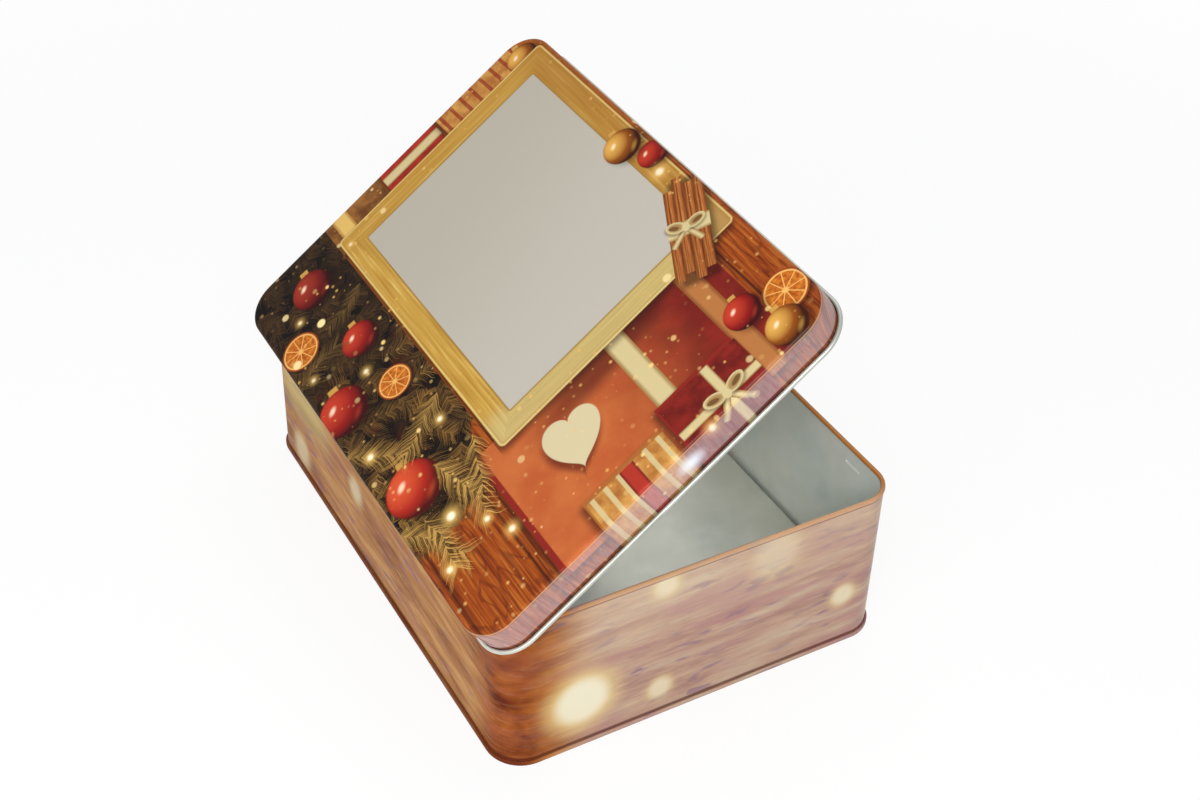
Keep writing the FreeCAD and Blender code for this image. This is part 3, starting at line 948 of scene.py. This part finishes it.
def skirt_painted_light(at, colour):
    """Painted reflection and highlights on the front skirt and fold, and painted shade above and in the curl."""
    across, along = at
    down = past(at, lid_x / MM, lid_y / MM, lid_corner / MM)
    front = soft_step(along, -121, -132)
    # The pale painted reflection lies on the front skirt only.
    pale = front * soft_step(down, 0.5, 1.1) * below(down, 13.2, 0.8)
    reflected_veil = toned(mottle(at, 1.4, 14, 3, 0.6), (0.35, (182, 156, 160)), (0.65, (204, 188, 186)))
    colour = blended(pale * 0.4, colour, reflected_veil)
    # Painted highlight: a white glint on the front skirt.
    gleam = below(far(put(at, 14, -143, 0, 10, 6)), 0.5, 1.0)
    colour = blended(gleam * pale * 0.9, colour, (232, 236, 246))
    # Painted highlight: a pale line along the fold from the top to the skirt.
    colour = blended(below(abs(down - 0.3), 0.35, 0.5) * 0.4, colour, (226, 196, 160))
    # Painted shade: a dark line in the hollow above the curl, and darker still down into the curl.
    colour = blended(soft_step(down, 13.0, 13.8) * 0.55, colour, (52, 18, 10))
    return blended(soft_step(down, 15.0, 16.2) * 0.8, colour, (14, 8, 7))


def lid_print(name, *layers):
    """One part of the lid's print under gloss varnish, laid down layer by layer."""
    material, shader, flow = new_finish(name)
    at = printed_at(flow)
    colour = flow.node("ShaderNodeRGB")
    for draw in layers:
        colour = layer(draw.__name__, at, colour, draw)
    down = past(at, lid_x / MM, lid_y / MM, lid_corner / MM)
    skirt = soft_step(down, 0.5, 1.3)
    colour = layer("skirt_painted_light", at, colour, skirt_painted_light)
    drive(shader, {"Base Color": colour, "Roughness": 0.22 + mottle(at, 3, None, 3) * 0.1,
                   "Specular IOR Level": 0.0, "Coat Weight": 0.2 + skirt * 0.5, "Coat Roughness": 0.08,
                   "Normal": rolled(flow, mottle(put(at, 15, 30), 70, None, 1), 0.3, 0.0006)})
    return material


left_print = lid_print("lid_print_left", boards, red_parcel, fir_garland, hung_things, near_sprigs, lights)
front_print = lid_print("lid_print_front", boards, red_parcel, gold_frame, sticks_and_balls, striped_box,
                        front_boxes, lights)
far_print = lid_print("lid_print_far", boards, boxes_behind, gold_frame, sticks_and_balls, lights)
lid_folds = [straight(flat_part), straight(0.4 * MM), bend(LID_ROUND - SHEET / 2, -90),
             straight(LID_DEPTH - LID_ROUND - LID_CURL / 2, 3), bend(LID_CURL / 2 - SHEET / 2, 305)]
lid_inset = LID_ROUND + flat_part + 0.4 * MM
lid_section = folded((-lid_inset, lid_top - SHEET / 2), 0, lid_folds, SHEET, printed_left=True)


def flat_on_the_lid(point, outward):
    """The lid's print is one flat picture that runs on over the edge and down the skirt."""
    spot = Vector((point[0], point[1], 0)) - Vector(outward) * lid_inset
    return tuple(spot), outward


lid = shell_round("printed_lid", carry_round, round_path(lid_x, lid_y, lid_corner, 8 * MM), lid_section, False,
                  flat_on_the_lid, **{"Printed finish": far_print, "Bare finish": tin_bare, "Dimple at x": 1.0})
close_flats(lid)
FIR_EDGE = -44 * MM
PARCEL_EDGE = -45 * MM


def part_print(piece, finishes):
    """Cut the printed side along two lines and give each part of it its own finish."""
    mesh = piece.data
    printed = mesh.materials.find(finishes[0].name)
    numbers = [printed] + [len(mesh.materials) + k for k in range(len(finishes) - 1)]
    for finish in finishes[1:]:
        mesh.materials.append(finish)
    with edited(mesh) as work:
        for spot, facing in (((FIR_EDGE, 0, 0), (1, 0, 0)), ((0, PARCEL_EDGE, 0), (0, 1, 0))):
            whole = work.verts[:] + work.edges[:] + work.faces[:]
            bmesh.ops.bisect_plane(work, geom=whole, plane_co=spot, plane_no=facing)
        for face in work.faces:
            if face.material_index == printed:
                middle = face.calc_center_median()
                face.material_index = numbers[1 if middle.x < FIR_EDGE else 2 if middle.y < PARCEL_EDGE else 0]


part_print(lid, (far_print, left_print, front_print))

HINGE_FROM_MIDDLE = 78 * MM
KNUCKLE_WIDTH = 13 * MM
KNUCKLE_PLAY = 0.35 * MM


def cut_notch(piece, centre, radius, width):
    """Cut a round notch through a piece, along Y."""
    mesh = bpy.data.meshes.new("notch")
    with edited(mesh) as work:
        bmesh.ops.create_cone(work, cap_ends=True, segments=48, radius1=radius, radius2=radius, depth=width,
                              matrix=Matrix.Translation(centre) @ Matrix.Rotation(math.radians(90), 4, "X"))
    mesh.materials.append(tin_bare)
    cutter = placed("notch", mesh)
    cut = piece.modifiers.new("notch", "BOOLEAN")
    cut.operation, cut.solver, cut.material_mode, cut.object = "DIFFERENCE", "EXACT", "TRANSFER", cutter
    graph = bpy.context.evaluated_depsgraph_get()
    piece.data = bpy.data.meshes.new_from_object(piece.evaluated_get(graph))
    piece.modifiers.clear()
    bpy.data.objects.remove(cutter)


pin_from_middle = lid_x - SHEET + LID_CURL / 2
pin_height = lid_top - LID_DEPTH + LID_CURL / 2
for side in (-1, 1):
    cut_notch(lid, Vector((-pin_from_middle, side * HINGE_FROM_MIDDLE, pin_height)),
              LID_CURL / 2 + KNUCKLE_PLAY, KNUCKLE_WIDTH + 2 * KNUCKLE_PLAY)

lid.data.transform(Matrix.Translation(hinge_line) @ Matrix.Rotation(-lid_angle, 4, "Y")
                   @ Matrix.Translation((pin_from_middle, 0, -pin_height)))
finish_mesh(lid)
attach(lid, "lid")
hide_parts("lid")


# The two hinges.  A short steel wire lies in the curl of the lid's skirt, and a small pressed leaf fixed to
# the wall is rolled round it where the curl is notched.


def hinge_steel():
    """Zinc-bright mild steel wire and strip."""
    material, shader, flow = new_finish("hinge_steel")
    place = flow.node("ShaderNodeTexCoord").out("Object")
    clouds = cloud(flow, place, 160, 3)
    drive(shader, {"Base Color": blended(clouds, (150, 152, 152), (196, 197, 194)),
                   "Roughness": 0.3 + clouds * 0.2, "Metallic": 1.0})
    return material


steel = hinge_steel()
for node in ("hinge_leaf_front", "hinge_leaf_back", "hinge_wire_front", "hinge_wire_back"):
    mesh = frame["nodes"][node].data.copy()
    with edited(mesh) as work:
        bmesh.ops.remove_doubles(work, verts=work.verts, dist=MERGE_DISTANCE)
    mesh.materials.clear()
    mesh.materials.append(steel)
    piece = placed("steel_" + node, mesh)
    finish_mesh(piece)
    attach(piece, "tin")
    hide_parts(node)


# The table and the studio.  A plain pale table top, a soft even light from all round, broad window lights
# from above, from the left and from the front, and the camera.

FLOOR_HALF = 3.0


def shown(flow):
    """1 for what the camera, a reflection or glass shows, and 0 for light passed between surfaces."""
    rays = flow.node("ShaderNodeLightPath")
    camera_ray, glossy, through = (rays.out(f"Is {kind} Ray") for kind in ("Camera", "Glossy", "Transmission"))
    return camera_ray.maths("MAXIMUM", glossy).maths("MAXIMUM", through)


def put_out(flow, share, under, over):
    """Send a mix of two shaders to the output."""
    output = next(node for node in flow.tree.nodes if node.type.startswith("OUTPUT"))
    mixed = flow.node("ShaderNodeMixShader", {}, [share, Flow(flow.tree, under.outputs[0]), over])
    flow.tree.links.new(mixed.socket, output.inputs["Surface"])


material, shader, flow = new_finish("table_top")
drive(shader, {"Base Color": linear((253, 253, 253)), "Roughness": 0.9, "Specular IOR Level": 0.0})
place = flow.node("ShaderNodeTexCoord").out("Object")
away = flow.node("ShaderNodeVectorMath", {"operation": "LENGTH"}, [place]).out("Value")
white = flow.node("ShaderNodeEmission", {}, {"Color": (1, 1, 1, 1), "Strength": 1.0})
put_out(flow, shown(flow) * (0.85 + soft_step(away, 0.3, 1.1) * 0.15), shader, white)
mesh = bpy.data.meshes.new("table_top")
mesh.from_pydata([(x * FLOOR_HALF, y * FLOOR_HALF, 0) for x, y in ((-1, -1), (1, -1), (1, 1), (-1, 1))], [],
                 [(0, 1, 2, 3)])
mesh.materials.append(material)
placed("table_top", mesh)

world = bpy.data.worlds.new("studio")
bpy.context.scene.world = world
world.use_nodes = True
flow = Flow(world.node_tree)
soft = world.node_tree.nodes["Background"]
soft.inputs["Color"].default_value = (0.97, 0.985, 1.0, 1)
soft.inputs["Strength"].default_value = 0.46
put_out(flow, shown(flow), soft, flow.node("ShaderNodeBackground", {}, {"Color": (1, 1, 1, 1), "Strength": 1.0}))


def window_light(name, place, aim, width, height, power):
    """A broad soft light that faces aim."""
    light = bpy.data.lights.new(name, "AREA")
    light.shape, light.size, light.size_y, light.energy = "RECTANGLE", width, height, power
    lamp = placed(name, light)
    lamp.location = place
    lamp.rotation_euler = (Vector(aim) - Vector(place)).to_track_quat("-Z", "Y").to_euler()


window_light("light_above", (0.5, 0.6, 1.6), (0, 0, 0.05), 1.4, 1.0, 5)
window_light("light_left", (-1.5, -0.7, 0.6), (0, 0, 0.05), 0.9, 0.9, 6)
window_light("light_front", (-0.55, -1.0, 1.0), (0, 0, 0.08), 0.7, 0.7, 13)

camera = bpy.data.cameras.new("camera")
camera.lens = 56.0434
camera.sensor_width = 36
camera.shift_x, camera.shift_y = -0.025, -0.025
camera.clip_start = 0.01
view = placed("camera", camera)
view.location = (-0.34096, -0.62543, 0.63091)
view.rotation_euler = [math.radians(turn) for turn in (53.2985, -2.2523, -29.723)]
bpy.context.scene.camera = view
bpy.context.scene.view_settings.view_transform = "Standard"
